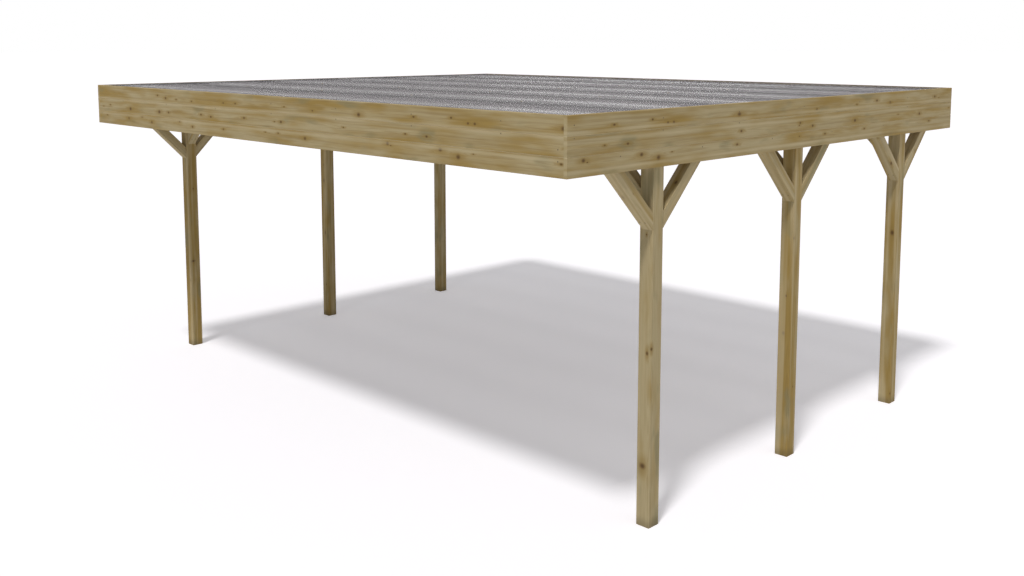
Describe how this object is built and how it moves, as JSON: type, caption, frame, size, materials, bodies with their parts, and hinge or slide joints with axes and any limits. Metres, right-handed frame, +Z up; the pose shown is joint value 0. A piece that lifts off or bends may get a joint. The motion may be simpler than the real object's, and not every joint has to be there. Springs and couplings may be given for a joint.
{
  "type": "double timber carport with a flat tinted roof",
  "caption": "Open flat-roofed timber carport: square posts in two rows with 45 degree head braces, a deep lamella fascia all round and a smoke-tinted translucent roof.",
  "frame": {"origin": "on the ground, under the middle of the roof", "axes": "+X to the right along the wide front, +Y to the back, +Z up"},
  "size_m": [5.824, 4.948, 2.604],
  "materials": {
    "post_timber": "planed pressure-treated pine, matt, green tinge",
    "frame_timber": "planed pressure-treated pine, matt, green tinge",
    "brace_timber": "planed pressure-treated pine, matt, green tinge",
    "fascia_boards": "planed and finger-jointed treated pine lamellas, matt",
    "tinted_sheet": "smoke-tinted translucent multiwall polycarbonate",
    "joint_strip": "smoke-tinted polycarbonate strip"
  },
  "bodies": {
    "root": {"brace_back_left_backward": "brace_timber", "brace_back_left_forward": "brace_timber", "brace_back_left_inward": "brace_timber", "brace_back_right_backward": "brace_timber", "brace_back_right_forward": "brace_timber", "brace_back_right_inward": "brace_timber", "brace_front_left_backward": "brace_timber", "brace_front_left_forward": "brace_timber", "brace_front_left_inward": "brace_timber", "brace_front_right_backward": "brace_timber", "brace_front_right_forward": "brace_timber", "brace_front_right_inward": "brace_timber", "brace_middle_left_backward": "brace_timber", "brace_middle_left_forward": "brace_timber", "brace_middle_left_inward": "brace_timber", "brace_middle_right_backward": "brace_timber", "brace_middle_right_forward": "brace_timber", "brace_middle_right_inward": "brace_timber", "crossbeam_back": "frame_timber", "crossbeam_front": "frame_timber", "crossbeam_middle": "frame_timber", "fascia_back": "fascia_boards", "fascia_front": "fascia_boards", "fascia_left": "fascia_boards", "fascia_right": "fascia_boards", "post_back_left": "post_timber", "post_back_right": "post_timber", "post_front_left": "post_timber", "post_front_right": "post_timber", "post_middle_left": "post_timber", "post_middle_right": "post_timber", "rafter_back_bay": "frame_timber", "rafter_back_edge": "frame_timber", "rafter_front_bay": "frame_timber", "rafter_front_edge": "frame_timber", "roof_joint_strips": "joint_strip", "roof_sheet_1": "tinted_sheet", "roof_sheet_2": "tinted_sheet", "roof_sheet_3": "tinted_sheet", "roof_sheet_4": "tinted_sheet", "roof_sheet_5": "tinted_sheet", "side_beam_left": "frame_timber", "side_beam_right": "frame_timber"}
  },
  "joints": []
}
